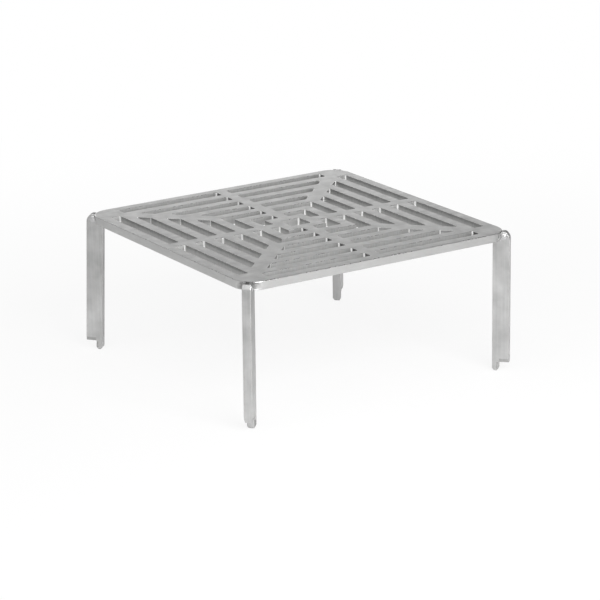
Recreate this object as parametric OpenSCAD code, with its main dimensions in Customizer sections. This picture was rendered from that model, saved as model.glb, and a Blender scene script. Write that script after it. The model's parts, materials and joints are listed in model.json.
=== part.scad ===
// Square slotted steel grate on four notched legs. Each leg hangs on a pin at a corner of the plate.
// Units are millimetres, +Z is up. The origin is on the ground under the middle of the part's box.

/* [Grate plate] */
// Length of each side of the square plate
plate_side = 360; // [340:5:400]
// Thickness of the plate
plate_t = 10; // [9.6:0.2:12]
// Plan rounding of the four corners of the plate
corner_r = 25; // [20:1:30]
// Height of the cooking face above the tip of an upright leg
stand_h = 170; // [140:5:240]

/* [Slot pattern] */
// Solid border outside the outermost slots
border_w = 12.6; // [10:0.2:16]
// Side of the square hole in the middle
centre_hole = 26.4; // [20:0.2:32]
// Number of square rings of slots
ring_count = 6; // [5:1:7]
// Rings next to the middle whose slots run round the corners
corner_rings = 2; // [1:1:3]
// Width of every slot
slot_w = 12.9; // [10:0.1:15]
// Width of the straight ribs on the two midlines
mid_rib_w = 14; // [10:0.5:18]
// Width of the ribs on the two diagonals
diag_rib_w = 17.8; // [12:0.2:22]
// Solid length beyond the ends of the outermost slots
corner_land = 36; // [32:0.5:44]
// Rounding of the ends of the slots
slot_r = 1.5; // [0.8:0.1:2]

/* [Legs] */
// Width of the flat bar of a leg, along the diagonal
leg_w = 20; // [18:0.5:24]
// Thickness of the flat bar
leg_t = 10; // [8:0.5:12]
// Rounding of the outer top corner of a leg
head_r = 9.5; // [8.5:0.1:9.9]
// Distance of the outer edge of a leg inside the sharp corner of the plate
leg_inset = 0.4; // [0:0.1:1]
// Gap between the shoulder of a leg and the underside of the plate
shoulder_gap = 0.3; // [0.2:0.05:0.6]
// Angle at which the front leg stands outward of upright
front_swing = 1.5; // [0:0.1:6]
// Angle at which the left leg stands outward of upright
left_swing = 2.3; // [0:0.1:6]
// Largest outward angle that a leg is made to turn through
swing_max = 80; // [60:1:84]

/* [Feet] */
// Width of the notch on the outer side of a foot
notch_w = 12.2; // [10:0.2:13]
// Height of the notch, from the tip to the ledge
notch_h = 11; // [8:0.5:14]
// Height of the bevel on both faces above the ledge
ledge_bevel_h = 4.5; // [3:0.5:6]
// Width of the bevel on both faces beside the notch
prong_bevel_w = 3; // [2:0.5:4]
// Depth of those bevels into the thickness of the bar
bevel_depth = 1.4; // [0.8:0.2:2]
// Taper of the tip along the width of the bar
tip_taper_w = 2.6; // [1.5:0.1:2.8]
// Taper of the tip along the thickness of the bar
tip_taper_t = 1.8; // [1:0.1:2.5]
// Height of the tapered tip
tip_taper_h = 3.4; // [2.5:0.1:4.5]

/* [Hinges] */
// Distance of a pin inside the sharp corner of the plate
pin_inset = 8; // [7.6:0.1:8.4]
// Depth of a pin below the cooking face
pin_drop = 6; // [5.9:0.05:6.2]
// Diameter of a pin
pin_d = 4; // [3:0.1:4.2]
// Radial clearance of a pin in the tongue of the plate
pin_play = 0.08; // [0.05:0.01:0.1]
// Radius of the rounded head of a leg round its pin
knuckle_r = 5.9; // [5.6:0.05:5.95]
// Gap between that head and its seat in the corner of the plate
seat_gap = 0.4; // [0.3:0.05:0.6]
// Thickness of the tongue on each corner of the plate
tongue_t = 4; // [3:0.1:4.4]
// Radius of the end of the tongue round the pin
tongue_r = 4; // [3.4:0.1:4]
// Gap on each side of the tongue in the fork of the leg
fork_gap = 0.3; // [0.25:0.05:0.5]
// Diameter of the domed head of a pin and of its cap
dome_d = 8; // [7:0.1:9]
// Height of the straight rim of a dome
dome_rim = 0.5; // [0.3:0.1:0.8]
// Height of the rounded part of a dome
dome_rise = 1; // [0.6:0.1:1.4]

/* [Hidden] */
$fn = 64;
half = plate_side / 2;
plate_z = stand_h - plate_t;
diag = half * sqrt(2);
pitch = (half - border_w - centre_hole / 2) / ring_count;
rib_w = pitch - slot_w;
mid_half = mid_rib_w / 2;
mitre_back = diag_rib_w / sqrt(2);
end_at = half - corner_land;
pin_x = diag - pin_inset;
pin_z = stand_h - pin_drop;
seat_r = knuckle_r + seat_gap;
// a leg is drawn upright round its pin: x outward, y up
out_x = pin_inset - leg_inset;
in_x = out_x - leg_w;
tip_y = -pin_z;
ledge_y = tip_y + notch_h;
prong_x = out_x - notch_w;
shoulder_y = pin_drop - plate_t - shoulder_gap;
fork_w = tongue_t + 2 * fork_gap;
fork_r = tongue_r + seat_gap;
web_r = tongue_r + fork_gap;
fork_len = leg_w + leg_t;
seat_len = 3 * corner_r;
dome_r = (dome_d * dome_d / 4 + dome_rise * dome_rise) / (2 * dome_rise);
// a splayed leg reaches further out and its tip lies a little lower, so the part is moved
// until the middle of its box is over the origin and its lowest tip is on the ground
function reach(swing) =
    (pin_x + out_x * cos(swing) - (ledge_y + ledge_bevel_h) * sin(swing) + leg_t / 2) / sqrt(2);
function tip_z(swing) = pin_z + (in_x + tip_taper_w) * sin(swing) + tip_y * cos(swing);
shift_x = (reach(left_swing) - reach(front_swing)) / 2;
shift_y = (max(reach(left_swing), reach(front_swing)) - reach(0)) / 2;
lift = -min(tip_z(left_swing), tip_z(front_swing));

module stand() {
    translate([shift_x, shift_y, lift]) children();
}

// ---------- grate plate ----------

// outward unit normal of side i of a polygon whose corners run anticlockwise
function side_normal(p, i) = let (d = p[(i + 1) % len(p)] - p[i]) [d[1], -d[0]] / norm(d);

// centre of the rounding at corner i
function round_centre(p, i, r) =
    let (m = side_normal(p, (i + len(p) - 1) % len(p)), n = side_normal(p, i))
    p[i] - r * (m + n) / (1 + m * n);

// convex polygon with every corner rounded
module rounded(p, r) {
    last = len(p) - 1;
    for (i = [0 : last]) translate(round_centre(p, i, r)) circle(r);
    polygon([for (i = [0 : last], e = [0, 1])
        round_centre(p, (i + e) % len(p), r) + r * side_normal(p, i)]);
}

module rounded_box(x0, y0, x1, y1) {
    rounded([[x0, y0], [x1, y0], [x1, y1], [x0, y1]], slot_r);
}

// one quarter of the slots of one ring that has a rib on each diagonal
module mitred_slots(a) {
    b = a + slot_w;
    for (s = [0, 1])
        mirror([0, s])
            rounded([[a, mid_half], [b, mid_half], [b, b - mitre_back], [a, a - mitre_back]], slot_r);
}

// one quarter of the slots of the outermost ring, which end square
module square_slots(a) {
    for (s = [0, 1])
        mirror([0, s]) rounded_box(a, mid_half, a + slot_w, end_at);
}

// one slot that runs round a corner of the pattern, between two midline ribs
module corner_slot(a) {
    b = a + slot_w;
    rounded_box(a, mid_half, b, b);
    rounded_box(mid_half, a, b, b);
}

module slot_pattern() {
    rounded_box(-centre_hole / 2, -centre_hole / 2, centre_hole / 2, centre_hole / 2);
    for (k = [0 : ring_count - 1], q = [0 : 3]) {
        a = centre_hole / 2 + rib_w + k * pitch;
        rotate(q * 90) {
            if (k == ring_count - 1) square_slots(a);
            else if (k < corner_rings) corner_slot(a);
            else mitred_slots(a);
        }
    }
}

module plate_outline() {
    translate([-half + corner_r, -half]) square([plate_side - 2 * corner_r, plate_side]);
    translate([-half, -half + corner_r]) square([plate_side, plate_side - 2 * corner_r]);
    for (x = [-1, 1], y = [-1, 1])
        translate([x * (half - corner_r), y * (half - corner_r)]) circle(corner_r);
}

// the hollow seat across a corner, in which the head of the leg turns
module corner_seat() {
    translate([pin_x, 0, pin_z]) rotate([90, 0, 0]) cylinder(r = seat_r, h = seat_len, center = true);
}

// the tongue that the fork of the leg straddles
module corner_tongue() {
    translate([pin_x, 0, pin_z]) {
        rotate([90, 0, 0]) cylinder(r = tongue_r, h = tongue_t, center = true);
        translate([-seat_r - 2, -tongue_t / 2, -tongue_r]) cube([seat_r + 2, tongue_t, 2 * tongue_r]);
    }
}

module pin_hole() {
    translate([pin_x, 0, pin_z]) rotate([90, 0, 0]) cylinder(d = pin_d + 2 * pin_play, h = 2 * tongue_t, center = true);
}

module plate() {
    difference() {
        union() {
            difference() {
                translate([0, 0, plate_z]) linear_extrude(plate_t) difference() {
                    plate_outline();
                    slot_pattern();
                }
                for (c = [-135, -45, 45, 135]) rotate(c) corner_seat();
            }
            for (c = [-135, -45, 45, 135]) rotate(c) corner_tongue();
        }
        for (c = [-135, -45, 45, 135]) rotate(c) pin_hole();
    }
}

module grate_plate() color([0.62, 0.62, 0.63]) stand() plate();

// ---------- legs ----------

// puts an upright leg, drawn round its pin, at a corner and swings it outward
module at_corner(turn, swing) {
    stand() rotate(turn) translate([pin_x, 0, pin_z]) rotate([0, -swing, 0]) children();
}

// side view of a leg: bar, round head and rounded outer corner
module leg_side() {
    difference() {
        union() {
            translate([in_x, tip_y]) square([leg_w, shoulder_y - tip_y]);
            circle(knuckle_r);
            translate([0, shoulder_y - 1]) square([out_x, pin_drop - head_r + 1 - shoulder_y]);
            intersection() {
                translate([out_x - head_r, pin_drop - head_r]) circle(head_r);
                translate([0, pin_drop - head_r - 0.5]) square([out_x, head_r + 0.5]);
            }
        }
        translate([prong_x, tip_y - 1]) square([notch_w + 1, notch_h + 1]);
    }
}

// space that the tongue needs inside the fork, from upright to the largest swing
module fork_side() {
    intersection() {
        union() {
            circle(fork_r);
            translate([-fork_len, -fork_r]) square([fork_len, fork_r + web_r]);
            rotate(-swing_max) translate([-fork_len, -web_r]) square([fork_len, 2 * web_r]);
            polygon([[0, 0], [-fork_len, 0], [-fork_len * cos(swing_max / 2), fork_len * sin(swing_max / 2)],
                     [-fork_len * cos(swing_max), fork_len * sin(swing_max)]]);
        }
        translate([-fork_len, shoulder_y]) square(2 * fork_len);
    }
}

// the four tapers that bring a foot down to its small flat tip
module tip_tapers() {
    y = leg_t / 2;
    translate([0, y + 1, tip_y]) rotate([90, 0, 0]) linear_extrude(leg_t + 2) {
        polygon([[in_x - 1, -1], [in_x + tip_taper_w, -1], [in_x + tip_taper_w, 0], [in_x, tip_taper_h],
                 [in_x - 1, tip_taper_h]]);
        polygon([[prong_x + 1, -1], [prong_x - tip_taper_w, -1], [prong_x - tip_taper_w, 0],
                 [prong_x, tip_taper_h], [prong_x + 1, tip_taper_h]]);
    }
    for (s = [-1, 1])
        translate([in_x - 1, 0, tip_y]) rotate([90, 0, 90]) linear_extrude(prong_x - in_x + 2)
            polygon([[s * (y + 1), -1], [s * (y - tip_taper_t), -1], [s * (y - tip_taper_t), 0],
                     [s * y, tip_taper_h], [s * (y + 1), tip_taper_h]]);
}

// the bevels on both faces round the notch
module notch_bevels() {
    y = leg_t / 2;
    for (s = [-1, 1]) {
        translate([prong_x, 0, ledge_y]) rotate([90, 0, 90]) linear_extrude(notch_w + 1)
            polygon([[s * (y + 1), -1], [s * (y - bevel_depth), -1], [s * (y - bevel_depth), 0],
                     [s * y, ledge_bevel_h], [s * (y + 1), ledge_bevel_h]]);
        translate([0, 0, tip_y - 1]) linear_extrude(notch_h + 1)
            polygon([[prong_x + 1, s * (y + 1)], [prong_x + 1, s * (y - bevel_depth)],
                     [prong_x, s * (y - bevel_depth)], [prong_x - prong_bevel_w, s * y],
                     [prong_x - prong_bevel_w, s * (y + 1)]]);
    }
}

module leg() {
    difference() {
        rotate([90, 0, 0]) linear_extrude(leg_t, center = true) leg_side();
        rotate([90, 0, 0]) linear_extrude(fork_w, center = true) fork_side();
        rotate([90, 0, 0]) cylinder(d = pin_d, h = leg_t + 2, center = true);
        tip_tapers();
        notch_bevels();
    }
}

module leg_front() color([0.6, 0.6, 0.61]) at_corner(-45, front_swing) leg();
module leg_right() color([0.6, 0.6, 0.61]) at_corner(45, 0) leg();
module leg_back() color([0.6, 0.6, 0.61]) at_corner(135, 0) leg();
module leg_left() color([0.6, 0.6, 0.61]) at_corner(-135, left_swing) leg();

// ---------- hinge pins and their caps ----------

// a shallow dome on a short rim, standing on the plane z = 0
module dome() {
    cylinder(d = dome_d, h = dome_rim);
    intersection() {
        translate([0, 0, dome_rim + dome_rise - dome_r]) sphere(dome_r);
        translate([0, 0, dome_rim - 0.1]) cylinder(d = dome_d, h = dome_rise + 0.2);
    }
}

// pin along y, with its domed head on one face of the leg
module pin() {
    rotate([90, 0, 0]) translate([0, 0, leg_t / 2]) dome();
    rotate([90, 0, 0]) cylinder(d = pin_d, h = leg_t + 0.2, center = true);
}

// domed cap pressed on the other end of the pin
module cap() {
    difference() {
        rotate([-90, 0, 0]) translate([0, 0, leg_t / 2]) dome();
        rotate([90, 0, 0]) cylinder(d = pin_d, h = leg_t + 0.2, center = true);
    }
}

module pin_front() color([0.75, 0.75, 0.76]) at_corner(-45, front_swing) pin();
module pin_right() color([0.75, 0.75, 0.76]) at_corner(45, 0) pin();
module pin_back() color([0.75, 0.75, 0.76]) at_corner(135, 0) pin();
module pin_left() color([0.75, 0.75, 0.76]) at_corner(-135, left_swing) pin();

module cap_front() color([0.7, 0.7, 0.71]) at_corner(-45, front_swing) cap();
module cap_right() color([0.7, 0.7, 0.71]) at_corner(45, 0) cap();
module cap_back() color([0.7, 0.7, 0.71]) at_corner(135, 0) cap();
module cap_left() color([0.7, 0.7, 0.71]) at_corner(-135, left_swing) cap();

grate_plate();
leg_front();
leg_right();
leg_back();
leg_left();
pin_front();
pin_right();
pin_back();
pin_left();
cap_front();
cap_right();
cap_back();
cap_left();
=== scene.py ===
import json
import math

import bmesh
import bpy
from mathutils import Matrix, Vector


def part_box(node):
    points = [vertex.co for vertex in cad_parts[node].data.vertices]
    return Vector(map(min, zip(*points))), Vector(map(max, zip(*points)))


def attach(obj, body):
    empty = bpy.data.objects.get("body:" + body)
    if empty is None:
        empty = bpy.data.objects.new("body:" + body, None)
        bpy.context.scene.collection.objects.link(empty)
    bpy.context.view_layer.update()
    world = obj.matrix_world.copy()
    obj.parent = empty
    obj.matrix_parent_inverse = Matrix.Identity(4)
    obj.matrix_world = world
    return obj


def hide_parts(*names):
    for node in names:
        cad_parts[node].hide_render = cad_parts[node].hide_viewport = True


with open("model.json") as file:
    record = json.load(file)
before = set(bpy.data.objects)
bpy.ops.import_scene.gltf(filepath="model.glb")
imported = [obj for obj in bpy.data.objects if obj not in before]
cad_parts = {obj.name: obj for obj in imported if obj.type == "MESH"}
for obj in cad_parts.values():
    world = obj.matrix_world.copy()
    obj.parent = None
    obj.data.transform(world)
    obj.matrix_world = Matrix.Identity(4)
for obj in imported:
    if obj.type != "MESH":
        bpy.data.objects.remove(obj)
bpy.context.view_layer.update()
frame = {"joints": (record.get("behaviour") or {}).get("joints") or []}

scene = bpy.context.scene

# The cooking plate: one square of thick stainless steel with six rings of slots cut through it.
# It is laser-cut and bead-blasted, its outer edge is rounded over and its slots are deburred, and
# each corner is milled out to a hollow seat with a drilled tongue that carries one leg.
MM = 0.001
PLATE_SIDE = 360 * MM
PLATE_ROUND = 25 * MM
BORDER = 12.6 * MM
CENTRE_HOLE = 26.4 * MM
RINGS = 6
CORNER_RINGS = 2
SLOT = 12.9 * MM
MIDLINE_RIB = 14 * MM
DIAGONAL_RIB = 17.8 * MM
CORNER_LAND = 36 * MM
SLOT_ROUND = 1.5 * MM
SLOT_ROUND_STEPS = 5
PLATE_ROUND_STEPS = 16
OUTER_EDGE = 0.9 * MM
SLOT_EDGE = 0.4 * MM
SEAT_RADIUS = 6.3 * MM
SEAT_LENGTH = 75 * MM
TONGUE_RADIUS = 4 * MM
TONGUE_THICKNESS = 4 * MM
TONGUE_EDGE = 0.3 * MM
TONGUE_ROOT = -SEAT_RADIUS - 2 * MM
PIN_HOLE_RADIUS = 2.08 * MM
RIM_ANGLE = 60
CRISP_ANGLE = 50
SAME_POINT = 0.001 * MM

plate_low, plate_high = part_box("grate_plate")
plate_top = Vector(((plate_low.x + plate_high.x) / 2,
                    (plate_low.y + plate_high.y) / 2, plate_high.z))
plate_thickness = plate_high.z - plate_low.z

# The place of each hinge: x points out along the diagonal, y runs along the pin and z is up.
CORNERS = {"front": -45, "right": 45, "back": 135, "left": -135}
hinges = {joint["child"].replace("_leg", ""): joint for joint in frame["joints"]}
hinge_place = {
    corner: Matrix.Translation(hinges[corner]["pos_m"])
    @ Matrix.Rotation(math.radians(turn), 4, "Z")
    for corner, turn in CORNERS.items()
}

# The finishes of the plate. Noise seldom leaves the range from NOISE_LOW to NOISE_HIGH.
NOISE_LOW = 0.3
NOISE_HIGH = 0.7
GRAIN_SCALE = 2600.0
GRAIN_DEPTH = 0.1 * MM


def steel(name, dark, light, roughness, patch, lines, line_scale, grain, fade=None):
    """Steel with soft cloudy patches, fine lines stretched along one axis and a fine grain.

    A fade paints light and shade as a change of tone on the way down from one height to a lower
    one: the steel gets paler where the change is positive, and darker where it is negative.
    """
    material = bpy.data.materials.new(name)
    material.use_nodes = True
    nodes, links = material.node_tree.nodes, material.node_tree.links
    shader = nodes["Principled BSDF"]
    shader.inputs["Metallic"].default_value = 1.0
    place = nodes.new("ShaderNodeTexCoord").outputs["Object"]

    clouds = nodes.new("ShaderNodeTexNoise")
    clouds.inputs["Scale"].default_value = patch
    clouds.inputs["Detail"].default_value = 5.0
    clouds.inputs["Roughness"].default_value = 0.55
    links.new(place, clouds.inputs["Vector"])

    stretch = nodes.new("ShaderNodeMapping")
    stretch.inputs["Scale"].default_value = line_scale
    links.new(place, stretch.inputs["Vector"])
    streaks = nodes.new("ShaderNodeTexNoise")
    streaks.inputs["Scale"].default_value = 1.0
    streaks.inputs["Detail"].default_value = 3.0
    links.new(stretch.outputs["Vector"], streaks.inputs["Vector"])

    pattern = nodes.new("ShaderNodeMix")
    pattern.data_type = "FLOAT"
    pattern.inputs["Factor"].default_value = lines
    links.new(clouds.outputs["Fac"], pattern.inputs["A"])
    links.new(streaks.outputs["Fac"], pattern.inputs["B"])

    tone = nodes.new("ShaderNodeValToRGB")
    tone.color_ramp.elements[0].position = NOISE_LOW
    tone.color_ramp.elements[0].color = (*dark, 1.0)
    tone.color_ramp.elements[1].position = NOISE_HIGH
    tone.color_ramp.elements[1].color = (*light, 1.0)
    links.new(pattern.outputs["Result"], tone.inputs["Fac"])
    links.new(tone.outputs["Color"], shader.inputs["Base Color"])
    if fade:
        change, high, low = fade
        height = nodes.new("ShaderNodeSeparateXYZ")
        links.new(place, height.inputs["Vector"])
        fading = nodes.new("ShaderNodeMapRange")
        fading.interpolation_type = "SMOOTHSTEP"
        fading.inputs["From Min"].default_value = high
        fading.inputs["From Max"].default_value = low
        fading.inputs["To Min"].default_value = -change
        fading.inputs["To Max"].default_value = change
        links.new(height.outputs["Z"], fading.inputs["Value"])
        faded = nodes.new("ShaderNodeMath")
        faded.operation = "ADD"
        links.new(pattern.outputs["Result"], faded.inputs[0])
        links.new(fading.outputs["Result"], faded.inputs[1])
        links.new(faded.outputs["Value"], tone.inputs["Fac"])

    sheen = nodes.new("ShaderNodeMapRange")
    sheen.inputs["From Min"].default_value = NOISE_LOW
    sheen.inputs["From Max"].default_value = NOISE_HIGH
    sheen.inputs["To Min"].default_value = roughness[1]
    sheen.inputs["To Max"].default_value = roughness[0]
    links.new(pattern.outputs["Result"], sheen.inputs["Value"])
    links.new(sheen.outputs["Result"], shader.inputs["Roughness"])

    blast = nodes.new("ShaderNodeTexNoise")
    blast.inputs["Scale"].default_value = GRAIN_SCALE
    blast.inputs["Detail"].default_value = 2.0
    links.new(place, blast.inputs["Vector"])
    bump = nodes.new("ShaderNodeBump")
    bump.inputs["Strength"].default_value = grain
    bump.inputs["Distance"].default_value = GRAIN_DEPTH
    links.new(blast.outputs["Fac"], bump.inputs["Height"])
    links.new(bump.outputs["Normal"], shader.inputs["Normal"])
    return material


LASER_CUT = {"patch": 60.0, "lines": 0.6, "line_scale": (700.0, 700.0, 30.0), "grain": 0.15}
# The fades of the cut walls paint light and shade between these two heights.
CUT_TOP = plate_top.z - 0.5 * MM
CUT_FOOT = plate_top.z - 5 * MM
PLATE_STEELS = [
    steel("bead-blasted steel", dark=(0.40, 0.40, 0.396), light=(0.52, 0.52, 0.515),
          roughness=(0.40, 0.50), patch=70.0, lines=0.45, line_scale=(700.0, 30.0, 700.0),
          grain=0.3),
    # Walls square on to Y, and the seats, tongues and pin holes: a darker copy of the cut steel,
    # with painted shade that darkens it along the top rim and fades to paler lower down.
    steel("laser-cut steel", dark=(0.34, 0.34, 0.337), light=(0.50, 0.50, 0.495),
          roughness=(0.48, 0.60), fade=(0.22, CUT_TOP, CUT_FOOT), **LASER_CUT),
    # Long walls square on to X: a paler copy of the cut steel, with painted light towards the top
    # rim and painted shade lower down.
    steel("laser-cut steel across the grain", dark=(0.42, 0.42, 0.416), light=(0.54, 0.54, 0.535),
          roughness=(0.48, 0.60), fade=(-0.15, CUT_TOP, CUT_FOOT), **LASER_CUT),
    # Short slot ends square on to X: a much paler copy of the cut steel, palest at the top and
    # darker lower down: painted light and shade.
    steel("pale slot end", dark=(0.54, 0.54, 0.535), light=(0.68, 0.68, 0.675),
          roughness=(0.42, 0.52), fade=(-0.2, CUT_TOP, CUT_FOOT), **LASER_CUT),
    # Short slot ends square on to Y: near-black steel, painted shade of the deep slot end.
    steel("dark slot end", dark=(0.12, 0.12, 0.119), light=(0.18, 0.18, 0.178),
          roughness=(0.26, 0.36), **LASER_CUT),
    # The narrow steps of the rounded slot corners: near-white steel, a painted highlight.
    steel("pale cut corner", dark=(0.86, 0.86, 0.855), light=(0.95, 0.95, 0.945),
          roughness=(0.46, 0.56), patch=200.0, lines=0.5, line_scale=(900.0, 900.0, 60.0),
          grain=0.15),
    steel("ground steel side", dark=(0.51, 0.51, 0.505), light=(0.57, 0.57, 0.565),
          roughness=(0.42, 0.52), patch=40.0, lines=0.3, line_scale=(40.0, 40.0, 900.0),
          grain=0.2),
    steel("rubbed steel edge", dark=(0.54, 0.54, 0.535), light=(0.62, 0.62, 0.615),
          roughness=(0.24, 0.32), patch=80.0, lines=0.3, line_scale=(300.0, 300.0, 300.0),
          grain=0.1),
]
FACE, WALL, PAINTED_LIGHT_WALL, PAINTED_LIGHT_END, PAINTED_SHADE_END, CORNER, SIDE, RUBBED = range(8)

# A slot's wall that is narrower than these is a step of a rounded corner, or the end of the slot.
CORNER_WIDTH = 1 * MM
END_WIDTH = 12 * MM


def cut_line(shape, corners, radius, segments):
    """Draws a closed cut line with rounded corners; a corner that turns inward stays square."""
    face = shape.faces.new([shape.verts.new((x, y, 0.0)) for x, y in corners])
    face.normal_update()
    rounding = [(loop.vert, radius / math.tan(loop.calc_angle() / 2))
                for loop in face.loops if loop.is_convex]
    for vert, length in rounding:
        bmesh.ops.bevel(shape, geom=[vert], offset=length, offset_type="OFFSET", segments=segments,
                        profile=0.5, affect="VERTICES", material=-1)


def quarter_slots(shape):
    """Draws the slots of all the rings in the quarter of the plate on its +X side."""
    pitch = (PLATE_SIDE / 2 - BORDER - CENTRE_HOLE / 2) / RINGS
    rib, mitre = MIDLINE_RIB / 2, DIAGONAL_RIB / math.sqrt(2)
    for ring in range(RINGS):
        inner = CENTRE_HOLE / 2 + (ring + 1) * pitch - SLOT
        outer = inner + SLOT
        if ring < CORNER_RINGS:
            cut_line(shape, [(inner, rib), (outer, rib), (outer, outer), (rib, outer),
                             (rib, inner), (inner, inner)], SLOT_ROUND, SLOT_ROUND_STEPS)
            continue
        near_end, far_end = inner - mitre, outer - mitre
        if ring == RINGS - 1:
            near_end = far_end = PLATE_SIDE / 2 - CORNER_LAND
        cut_line(shape, [(inner, rib), (outer, rib), (outer, far_end), (inner, near_end)],
                 SLOT_ROUND, SLOT_ROUND_STEPS)
        cut_line(shape, [(outer, -rib), (inner, -rib), (inner, -near_end), (outer, -far_end)],
                 SLOT_ROUND, SLOT_ROUND_STEPS)


def square_line(shape, side, radius, segments):
    """Draws a square cut line round the middle of the plate."""
    end = side / 2
    cut_line(shape, [(-end, -end), (end, -end), (end, end), (-end, end)], radius, segments)


def sharp_edges(shape, angle):
    """The edges at which two faces meet at more than the angle, in degrees."""
    return [e for e in shape.edges
            if e.is_manifold and e.calc_face_angle(0.0) > math.radians(angle)]


def finish(faces, material):
    """Gives faces the finish with this number in the piece's list."""
    for face in faces:
        face.material_index = material


def round_over(shape, edges, radius, segments, material=None):
    """Rounds edges over. The new faces get a finish of their own where one is given."""
    made = bmesh.ops.bevel(shape, geom=edges, offset=radius, offset_type="OFFSET",
                           segments=segments, profile=0.5, affect="EDGES", material=-1,
                           clamp_overlap=False)
    if material is not None:
        finish(made["faces"], material)


def as_object(shape, name, materials):
    """Ends the bmesh and gives an object with that mesh, smooth except at its crisp edges."""
    for face in shape.faces:
        face.smooth = True
    for edge in sharp_edges(shape, CRISP_ANGLE):
        edge.smooth = False
    mesh = bpy.data.meshes.new(name)
    shape.to_mesh(mesh)
    shape.free()
    for material in materials:
        mesh.materials.append(material)
    thing = bpy.data.objects.new(name, mesh)
    scene.collection.objects.link(thing)
    return thing


def machined(work, cutter, operation):
    """Mills the cutter out of the work, or welds it on, and leaves one clean mesh."""
    step = work.modifiers.new(operation, "BOOLEAN")
    step.operation = operation
    step.solver = "EXACT"
    step.object = cutter
    finished = work.evaluated_get(bpy.context.evaluated_depsgraph_get())
    result = bpy.data.meshes.new_from_object(finished)
    work.modifiers.clear()
    work.data = result
    bpy.data.objects.remove(cutter)


def placed(piece, body, node):
    """Shades the flats flat, and makes the piece ride on its body in place of its CAD node."""
    even = piece.modifiers.new("even shading", "WEIGHTED_NORMAL")
    even.mode = "FACE_AREA"
    even.keep_sharp = True
    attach(piece, body)
    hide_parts(node)


slot_reach = PLATE_SIDE / 2 - BORDER + 1 * MM

# A face is level, or square on to X or Y, where its normal has more than this share that way.
LEVEL = 0.9
SQUARE_ON = 0.99


def from_middle(point):
    """How far a point is from the middle of the plate, along X or Y."""
    return max(abs(point.x - plate_top.x), abs(point.y - plate_top.y))


sheet = bmesh.new()
quarter_slots(sheet)
quarter = sheet.verts[:] + sheet.edges[:] + sheet.faces[:]
for turn in (90, 180, 270):
    copy = bmesh.ops.duplicate(sheet, geom=quarter)["geom"]
    bmesh.ops.rotate(sheet, verts=[v for v in copy if isinstance(v, bmesh.types.BMVert)],
                     matrix=Matrix.Rotation(math.radians(turn), 3, "Z"))
square_line(sheet, CENTRE_HOLE, SLOT_ROUND, SLOT_ROUND_STEPS)
square_line(sheet, PLATE_SIDE, PLATE_ROUND, PLATE_ROUND_STEPS)
bmesh.ops.delete(sheet, geom=sheet.faces[:], context="FACES_KEEP_BOUNDARY")
bmesh.ops.triangle_fill(sheet, edges=sheet.edges[:], normal=(0, 0, 1), use_beauty=True)
bmesh.ops.solidify(sheet, geom=sheet.faces[:], thickness=plate_thickness)
bmesh.ops.recalc_face_normals(sheet, faces=sheet.faces[:])
top = max(v.co.z for v in sheet.verts)
bmesh.ops.translate(sheet, verts=sheet.verts[:], vec=(plate_top.x, plate_top.y, plate_top.z - top))


def plate_finish(face):
    """Which finish a face of the cut plate has."""
    if abs(face.normal.z) > LEVEL:
        return FACE
    if from_middle(face.calc_center_median()) > slot_reach:
        return SIDE
    width = face.calc_area() / plate_thickness
    # The steps of the rounded slot corners get a painted highlight.
    if width < CORNER_WIDTH:
        return CORNER
    # Walls square on to X get paler copies of the cut steel: painted light.
    if abs(face.normal.x) > SQUARE_ON:
        return PAINTED_LIGHT_END if width < END_WIDTH else PAINTED_LIGHT_WALL
    # Short ends square on to Y get near-black steel: painted shade.
    if abs(face.normal.y) > SQUARE_ON and width < END_WIDTH:
        return PAINTED_SHADE_END
    # Every other wall gets the darker cut steel with painted shade along its top rim.
    return WALL


for face in sheet.faces:
    face.material_index = plate_finish(face)
rims = [e for e in sharp_edges(sheet, RIM_ANGLE)
        if abs(e.verts[0].co.z - e.verts[1].co.z) < plate_thickness / 2]
outside = [e for e in rims if max(from_middle(v.co) for v in e.verts) > slot_reach]
inside = [e for e in rims if e not in set(outside)]
round_over(sheet, outside, OUTER_EDGE, segments=4, material=RUBBED)
round_over(sheet, inside, SLOT_EDGE, segments=2, material=RUBBED)
plate = as_object(sheet, "cooking_plate", PLATE_STEELS)


def cross_drill(radius, length, segments=48):
    """A round cutter that lies along the pin."""
    shape = bmesh.new()
    bmesh.ops.create_cone(shape, cap_ends=True, segments=segments, radius1=radius,
                          radius2=radius, depth=length,
                          matrix=Matrix.Rotation(math.radians(90), 4, "X"))
    return shape


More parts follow.
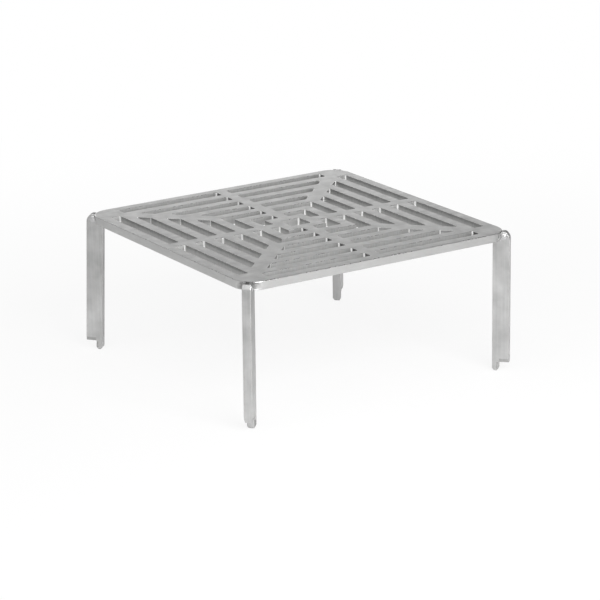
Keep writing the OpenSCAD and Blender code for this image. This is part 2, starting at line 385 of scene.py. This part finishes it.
# Each corner gets its hollow seat, the tongue that stands in it and the hole for the pin.
for place in hinge_place.values():
    seat = cross_drill(SEAT_RADIUS, SEAT_LENGTH, segments=96)
    finish(seat.faces, WALL)
    seat.transform(place)
    machined(plate, as_object(seat, "seat", PLATE_STEELS), "DIFFERENCE")

    tongue = bmesh.new()
    outline = tongue.faces.new([
        tongue.verts.new((x, TONGUE_THICKNESS / 2, z))
        for x, z in ((TONGUE_ROOT, -TONGUE_RADIUS), (TONGUE_ROOT, TONGUE_RADIUS),
                     (TONGUE_RADIUS, TONGUE_RADIUS), (TONGUE_RADIUS, -TONGUE_RADIUS))])
    bmesh.ops.bevel(tongue, geom=[v for v in outline.verts if v.co.x > 0], offset=TONGUE_RADIUS,
                    offset_type="OFFSET", segments=12, profile=0.5, affect="VERTICES",
                    material=-1)
    bmesh.ops.remove_doubles(tongue, verts=tongue.verts[:], dist=SAME_POINT)
    bmesh.ops.solidify(tongue, geom=tongue.faces[:], thickness=TONGUE_THICKNESS)
    middle = sum((v.co for v in tongue.verts), Vector()) / len(tongue.verts)
    bmesh.ops.translate(tongue, verts=tongue.verts[:], vec=(0, -middle.y, 0))
    bmesh.ops.recalc_face_normals(tongue, faces=tongue.faces[:])
    free_rims = [e for e in sharp_edges(tongue, RIM_ANGLE)
                 if max(v.co.x for v in e.verts) > TONGUE_ROOT + 1 * MM]
    round_over(tongue, free_rims, TONGUE_EDGE, segments=2)
    finish(tongue.faces, WALL)
    tongue.transform(place)
    machined(plate, as_object(tongue, "tongue", PLATE_STEELS), "UNION")

    drill = cross_drill(PIN_HOLE_RADIUS, 2 * TONGUE_THICKNESS)
    finish(drill.faces, WALL)
    drill.transform(place)
    machined(plate, as_object(drill, "drill", PLATE_STEELS), "DIFFERENCE")
placed(plate, "grate", "grate_plate")

# Four legs of flat steel bar, set edge-on to the corners. The bar is hot-rolled and sawn to length;
# its head is rounded and forked for the tongue, its foot is notched and bevelled, and it is blasted
# to a slightly cloudy satin with faint rolling lines along its length.
LEG_THICKNESS = 10 * MM
LEG_INNER = -12.4 * MM
LEG_OUTER = 7.6 * MM
LEG_EDGE = 0.5 * MM
TIP = -164 * MM
LEDGE = -153 * MM
PRONG = -4.6 * MM
SHOULDER = -4.3 * MM
KNUCKLE_RADIUS = 5.9 * MM
HEAD_RADIUS = 9.5 * MM
HEAD_CENTRE = (LEG_OUTER - HEAD_RADIUS, 0, -3.5 * MM)
KNUCKLE_SWEEP = 197.91
HEAD_SWEEP = 41.94
TAPER_WIDTH = 2.6 * MM
TAPER_THICKNESS = 1.8 * MM
TAPER_HEIGHT = 3.4 * MM
TAPER_TOP = TIP + TAPER_HEIGHT
BEVEL_DEPTH = 1.4 * MM
LEDGE_BEVEL = 4.5 * MM
PRONG_BEVEL = 3 * MM
FORK_WIDTH = 4.6 * MM
FORK_RADIUS = 4.4 * MM
FORK_SWEEP = 87.8
FORK_LEAN = math.radians(10)
FORK_REACH = 30 * MM
PIN_RADIUS = 2 * MM
BAR_EDGE_ANGLE = 40
EDGE_ON = 0.2
FLUSH_ANGLE = 0.5
LEG_STEELS = [
    # The bar steel has painted shade near the head and painted light near the foot, from the lit
    # floor.
    steel("blasted bar steel", dark=(0.40, 0.40, 0.397), light=(0.63, 0.63, 0.627),
          roughness=(0.36, 0.48), patch=34.0, lines=0.25, line_scale=(420.0, 420.0, 14.0),
          grain=0.2, fade=(0.07, 0.12, 0.04)),
    steel("cut bar steel", dark=(0.40, 0.40, 0.396), light=(0.48, 0.48, 0.475),
          roughness=(0.48, 0.60), **LASER_CUT),
    PLATE_STEELS[RUBBED],
]
BAR_FACE, BAR_CUT, BAR_RUBBED = range(3)


def profile(shape, start):
    """Starts an outline in the x-z plane, and gives the two tools that draw it onwards."""
    at = [shape.verts.new((start[0], 0, start[1]))]

    def line(*points):
        for x, z in points:
            at.append(shape.verts.new((x, 0, z)))
            shape.edges.new(at[-2:])

    def arc(centre, degrees, steps):
        swept = bmesh.ops.spin(shape, geom=[at[-1]], cent=centre, axis=(0, 1, 0),
                               angle=math.radians(degrees), steps=steps, use_duplicate=False)
        at.append(swept["geom_last"][0])
    return line, arc


def slab(shape, thickness):
    """Closes the drawn outline and makes a slab of it, centred across its thickness."""
    bmesh.ops.remove_doubles(shape, verts=shape.verts[:], dist=SAME_POINT)
    bmesh.ops.edgenet_fill(shape, edges=shape.edges[:])
    bmesh.ops.solidify(shape, geom=shape.faces[:], thickness=thickness)
    sides = [v.co.y for v in shape.verts]
    bmesh.ops.translate(shape, verts=shape.verts[:], vec=(0, -(min(sides) + max(sides)) / 2, 0))
    bmesh.ops.recalc_face_normals(shape, faces=shape.faces[:])


def wedge(corners, along):
    """A three-sided cutter, swept from its first face along a direction."""
    shape = bmesh.new()
    end = shape.faces.new([shape.verts.new(c) for c in corners])
    swept = bmesh.ops.extrude_face_region(shape, geom=[end], use_keep_orig=True)["geom"]
    bmesh.ops.translate(shape, vec=along,
                        verts=[v for v in swept if isinstance(v, bmesh.types.BMVert)])
    bmesh.ops.recalc_face_normals(shape, faces=shape.faces[:])
    return shape


def foot_cutters():
    """The cutters of the bevels on both faces of a foot, above its ledge and beside its notch."""
    cheek, spare = LEG_THICKNESS / 2, 1 * MM
    for side in (-1, 1):
        lean = BEVEL_DEPTH / LEDGE_BEVEL
        deep, shallow = cheek - BEVEL_DEPTH - lean * spare, cheek + lean * spare
        yield wedge([(PRONG, side * deep, LEDGE - spare),
                     (PRONG, side * shallow, LEDGE + LEDGE_BEVEL + spare),
                     (PRONG, side * (cheek + 2 * spare), LEDGE - spare)],
                    (LEG_OUTER - PRONG + spare, 0, 0))
        lean = BEVEL_DEPTH / PRONG_BEVEL
        deep, shallow = cheek - BEVEL_DEPTH - lean * spare, cheek + lean * spare
        yield wedge([(PRONG + spare, side * deep, LEDGE),
                     (PRONG - PRONG_BEVEL - spare, side * shallow, LEDGE),
                     (PRONG + spare, side * (cheek + 2 * spare), LEDGE)],
                    (0, 0, TIP - LEDGE - spare))


# The bar is cut to its outline, its tip is tapered and its foot bevelled, and its edges are broken.
bar = bmesh.new()
shoulder_end = -math.sqrt(KNUCKLE_RADIUS ** 2 - SHOULDER ** 2)
line, arc = profile(bar, (shoulder_end, SHOULDER))
arc((0, 0, 0), KNUCKLE_SWEEP, steps=28)
arc(HEAD_CENTRE, HEAD_SWEEP, steps=9)
line((LEG_OUTER, LEDGE), (PRONG, LEDGE), (PRONG, TAPER_TOP), (PRONG - TAPER_WIDTH, TIP),
     (LEG_INNER + TAPER_WIDTH, TIP), (LEG_INNER, TAPER_TOP), (LEG_INNER, SHOULDER),
     (shoulder_end, SHOULDER))
slab(bar, LEG_THICKNESS)
for side in (-1, 1):
    bmesh.ops.bisect_plane(bar, geom=bar.verts[:] + bar.edges[:] + bar.faces[:], clear_outer=True,
                           plane_co=(0, side * LEG_THICKNESS / 2, TAPER_TOP),
                           plane_no=(0, side * TAPER_HEIGHT, -TAPER_THICKNESS))
    bmesh.ops.holes_fill(bar, edges=[e for e in bar.edges if e.is_boundary])
blank = as_object(bar, "leg_blank", [])
for cutter in foot_cutters():
    machined(blank, as_object(cutter, "bevel_cutter", []), "DIFFERENCE")
bar = bmesh.new()
bar.from_mesh(blank.data)
bpy.data.objects.remove(blank)
bmesh.ops.remove_doubles(bar, verts=bar.verts[:], dist=SAME_POINT)
bmesh.ops.dissolve_limit(bar, angle_limit=math.radians(FLUSH_ANGLE), verts=bar.verts[:],
                         edges=bar.edges[:])
finish(bar.faces, BAR_FACE)
bevelled = [face for face in bar.faces if EDGE_ON < abs(face.normal.y) < SQUARE_ON
            and face.calc_center_median().z > TAPER_TOP]
finish(bevelled, BAR_CUT)
round_over(bar, sharp_edges(bar, BAR_EDGE_ANGLE), LEG_EDGE, segments=3, material=BAR_RUBBED)
blank = as_object(bar, "leg_blank", LEG_STEELS)

# The head is then forked for the tongue and drilled for the pin.
fork = bmesh.new()
line, arc = profile(fork, (-FORK_REACH, SHOULDER))
line((math.sqrt(FORK_RADIUS ** 2 - SHOULDER ** 2), SHOULDER))
arc((0, 0, 0), -FORK_SWEEP, steps=12)
line((FORK_RADIUS * math.cos(FORK_LEAN) - FORK_REACH * math.sin(FORK_LEAN), FORK_REACH),
     (-FORK_REACH, FORK_REACH), (-FORK_REACH, SHOULDER))
slab(fork, FORK_WIDTH)
finish(fork.faces, BAR_CUT)
machined(blank, as_object(fork, "fork_cutter", LEG_STEELS), "DIFFERENCE")
pin_drill = cross_drill(PIN_RADIUS, 2 * LEG_THICKNESS)
machined(blank, as_object(pin_drill, "pin_drill", LEG_STEELS), "DIFFERENCE")

# A joint's lower limit is upright, so a leg stands out at rest by as much as it can turn back.
leg_place = {
    corner: place @ Matrix.Rotation(math.radians(hinges[corner]["range_deg"][0]), 4, "Y")
    for corner, place in hinge_place.items()
}
for corner, place in leg_place.items():
    bar = bmesh.new()
    bar.from_mesh(blank.data)
    bar.transform(place)
    placed(as_object(bar, "bar_leg_" + corner, LEG_STEELS),
           corner + "_leg", "leg_" + corner)
bpy.data.objects.remove(blank)

# The hinge pins: turned steel, with a low domed head on one cheek of the fork. The shaft is pressed
# in both cheeks and turns in the plate's tongue; a domed cap of the same steel closes its far end.
DOME_RADIUS = 4 * MM
DOME_RIM = 0.5 * MM
DOME_RISE = 1 * MM
DOME_EDGE = 0.15 * MM
PIN_END = 0.1 * MM
pin_steel = steel("turned steel", dark=(0.52, 0.52, 0.52), light=(0.60, 0.60, 0.60),
                  roughness=(0.24, 0.32), patch=160.0, lines=0.3, line_scale=(500.0, 500.0, 500.0),
                  grain=0.05)


def turned(side, shaft_from, shaft_to):
    """A domed head on one side of the fork, in one with the shaft between its two ends."""
    shape = bmesh.new()
    cheek = side * LEG_THICKNESS / 2
    ball = (DOME_RADIUS ** 2 + DOME_RISE ** 2) / (2 * DOME_RISE)
    crown = cheek + side * (DOME_RIM + DOME_RISE)
    first = shape.verts.new((0, crown, 0))
    arc = bmesh.ops.spin(shape, geom=[first], cent=(0, crown - side * ball, 0), axis=(0, 0, 1),
                         angle=-side * math.asin(DOME_RADIUS / ball), steps=8, use_duplicate=False)
    chain = [arc["geom_last"][0]]
    for radius, y in ((DOME_RADIUS, cheek), (PIN_RADIUS, shaft_from), (PIN_RADIUS, shaft_to),
                      (0, shaft_to)):
        chain.append(shape.verts.new((radius, y, 0)))
        shape.edges.new(chain[-2:])
    bmesh.ops.spin(shape, geom=shape.verts[:] + shape.edges[:], cent=(0, 0, 0),
                   axis=(0, 1, 0), angle=2 * math.pi, steps=64, use_merge=True,
                   use_duplicate=False)
    bmesh.ops.remove_doubles(shape, verts=shape.verts[:], dist=SAME_POINT)
    bmesh.ops.recalc_face_normals(shape, faces=shape.faces[:])
    round_over(shape, sharp_edges(shape, BAR_EDGE_ANGLE), DOME_EDGE, segments=2)
    return shape


fork_side = LEG_THICKNESS / 2
for corner, place in leg_place.items():
    pin = turned(-1, -fork_side, fork_side)
    pin.transform(place)
    placed(as_object(pin, "hinge_pin_" + corner, [pin_steel]),
           corner + "_leg", "pin_" + corner)
    cap = turned(1, fork_side, fork_side + PIN_END)
    cap.transform(place)
    placed(as_object(cap, "pin_cap_" + corner, [pin_steel]),
           corner + "_leg", "cap_" + corner)

# The studio floor: a wide sheet of white paper that runs on past the view on every side. To the
# eye it goes from nearly white under the grate, where it keeps the soft shadow, to plain white.
FLOOR_HALF = 9.0
PAPER = 0.9
SHADOW_REACH = 0.25
WHITE_REACH = 1.2
WHITE_UNDER_GRATE = 0.86
WHITE_IN_STEEL = 0.28
floor_shape = bmesh.new()
bmesh.ops.create_grid(floor_shape, x_segments=1, y_segments=1, size=FLOOR_HALF)
paper = bpy.data.materials.new("white paper")
paper.use_nodes = True
nodes, links = paper.node_tree.nodes, paper.node_tree.links
nodes.remove(nodes["Principled BSDF"])
matt = nodes.new("ShaderNodeBsdfDiffuse")
matt.inputs["Color"].default_value = (PAPER, PAPER, PAPER, 1.0)
glow = nodes.new("ShaderNodeEmission")
rays = nodes.new("ShaderNodeLightPath")
mirrored = nodes.new("ShaderNodeMath")
mirrored.operation = "MAXIMUM"
links.new(rays.outputs["Is Glossy Ray"], mirrored.inputs[0])
links.new(rays.outputs["Is Transmission Ray"], mirrored.inputs[1])
white_in_steel = nodes.new("ShaderNodeMath")
white_in_steel.operation = "MULTIPLY"
white_in_steel.inputs[1].default_value = WHITE_IN_STEEL
links.new(mirrored.outputs["Value"], white_in_steel.inputs[0])
from_centre = nodes.new("ShaderNodeVectorMath")
from_centre.operation = "LENGTH"
links.new(nodes.new("ShaderNodeTexCoord").outputs["Object"], from_centre.inputs[0])
white_to_eye = nodes.new("ShaderNodeMapRange")
white_to_eye.interpolation_type = "SMOOTHSTEP"
white_to_eye.inputs["From Min"].default_value = SHADOW_REACH
white_to_eye.inputs["From Max"].default_value = WHITE_REACH
white_to_eye.inputs["To Min"].default_value = WHITE_UNDER_GRATE
white_to_eye.inputs["To Max"].default_value = 1.0
links.new(from_centre.outputs["Value"], white_to_eye.inputs["Value"])
white_share = nodes.new("ShaderNodeMath")
white_share.operation = "MULTIPLY_ADD"
links.new(rays.outputs["Is Camera Ray"], white_share.inputs[0])
links.new(white_to_eye.outputs["Result"], white_share.inputs[1])
links.new(white_in_steel.outputs["Value"], white_share.inputs[2])
blend = nodes.new("ShaderNodeMixShader")
links.new(white_share.outputs["Value"], blend.inputs["Fac"])
links.new(matt.outputs["BSDF"], blend.inputs[1])
links.new(glow.outputs["Emission"], blend.inputs[2])
links.new(blend.outputs["Shader"], nodes["Material Output"].inputs["Surface"])
as_object(floor_shape, "studio_floor", [paper])

# The light of a plain studio: pale walls, palest in front and dimmer at the back and overhead, a
# soft key lamp on the right, a broad one high in front and a weak one low behind on the left.
FRONT_WALL = 0.8
BACK_WALL = 0.38
CEILING = 0.5
CEILING_HEIGHT = 0.9
FRONT_TURN = math.radians(20)
world = bpy.data.worlds.new("studio")
scene.world = world
world.use_nodes = True
nodes, links = world.node_tree.nodes, world.node_tree.links
direction = nodes.new("ShaderNodeTexCoord").outputs["Generated"]
toward_front = nodes.new("ShaderNodeVectorMath")
toward_front.operation = "DOT_PRODUCT"
toward_front.inputs[1].default_value = (math.sin(FRONT_TURN), -math.cos(FRONT_TURN), 0.0)
links.new(direction, toward_front.inputs[0])
upward = nodes.new("ShaderNodeSeparateXYZ")
links.new(direction, upward.inputs["Vector"])


def ramped(source, start, end, start_level, end_level):
    """A level that goes evenly from one value to another as the source rises."""
    ramp = nodes.new("ShaderNodeMapRange")
    ramp.inputs["From Min"].default_value = start
    ramp.inputs["From Max"].default_value = end
    ramp.inputs["To Min"].default_value = start_level
    ramp.inputs["To Max"].default_value = end_level
    links.new(source, ramp.inputs["Value"])
    return ramp.outputs["Result"]


around = ramped(toward_front.outputs["Value"], -1.0, 1.0, BACK_WALL, FRONT_WALL)
overhead = ramped(upward.outputs["Z"], 0.0, CEILING_HEIGHT, 1.0, CEILING)
wall_level = nodes.new("ShaderNodeMath")
wall_level.operation = "MULTIPLY"
links.new(around, wall_level.inputs[0])
links.new(overhead, wall_level.inputs[1])
seen_level = nodes.new("ShaderNodeMix")
seen_level.data_type = "FLOAT"
seen_level.inputs["B"].default_value = 1.0
links.new(nodes.new("ShaderNodeLightPath").outputs["Is Camera Ray"],
          seen_level.inputs["Factor"])
links.new(wall_level.outputs["Value"], seen_level.inputs["A"])
nodes["Background"].inputs["Color"].default_value = (1.0, 1.0, 1.0, 1.0)
links.new(seen_level.outputs["Result"], nodes["Background"].inputs["Strength"])


def lamp(name, azimuth, elevation, distance, width, depth, power):
    """A soft lamp that faces the plate. Azimuth 0 is in front, 90 is on the right."""
    data = bpy.data.lights.new(name, "AREA")
    data.shape = "RECTANGLE"
    data.size = width
    data.size_y = depth
    data.energy = power
    turn, tilt = math.radians(azimuth), math.radians(elevation)
    away = Vector((math.sin(turn) * math.cos(tilt), -math.cos(turn) * math.cos(tilt),
                   math.sin(tilt)))
    light = bpy.data.objects.new(name, data)
    light.location = plate_top + away * distance
    light.rotation_euler = away.to_track_quat("Z", "Y").to_euler()
    light.visible_camera = False
    scene.collection.objects.link(light)


lamp("key lamp", azimuth=85, elevation=28, distance=1.4, width=0.9, depth=0.9, power=16.5)
lamp("front lamp", azimuth=30, elevation=48, distance=2.6, width=2.4, depth=2.4, power=24)
lamp("back lamp", azimuth=-115, elevation=12, distance=1.2, width=1.2, depth=0.5, power=2.4)

# The camera stands on the right, a little above the plate, and looks down at it through a long
# lens. It leans over slightly, and it is moved a little sideways and down to frame the grate.
CAMERA_AZIMUTH = math.radians(57.436)
CAMERA_ELEVATION = math.radians(17.367)
CAMERA_ROLL = math.radians(-0.941)
CAMERA_DISTANCE = 3.1871
SIDEWAYS = 0.00535
BELOW = 0.09187
LENS = 162.85
FURTHEST_SEEN = 50.0
back = Vector((math.sin(CAMERA_AZIMUTH) * math.cos(CAMERA_ELEVATION),
               -math.cos(CAMERA_AZIMUTH) * math.cos(CAMERA_ELEVATION), math.sin(CAMERA_ELEVATION)))
right = Vector((math.cos(CAMERA_AZIMUTH), math.sin(CAMERA_AZIMUTH), 0.0))
up = back.cross(right)
right, up = (right * math.cos(CAMERA_ROLL) + up * math.sin(CAMERA_ROLL),
             up * math.cos(CAMERA_ROLL) - right * math.sin(CAMERA_ROLL))
camera_data = bpy.data.cameras.new("camera")
camera_data.lens = LENS
camera_data.clip_end = FURTHEST_SEEN
camera = bpy.data.objects.new("camera", camera_data)
camera.matrix_world = Matrix.Translation(
    plate_top + back * CAMERA_DISTANCE + right * SIDEWAYS - up * BELOW
) @ Matrix((right, up, back)).transposed().to_4x4()
scene.collection.objects.link(camera)
scene.camera = camera
scene.view_settings.view_transform = "Standard"
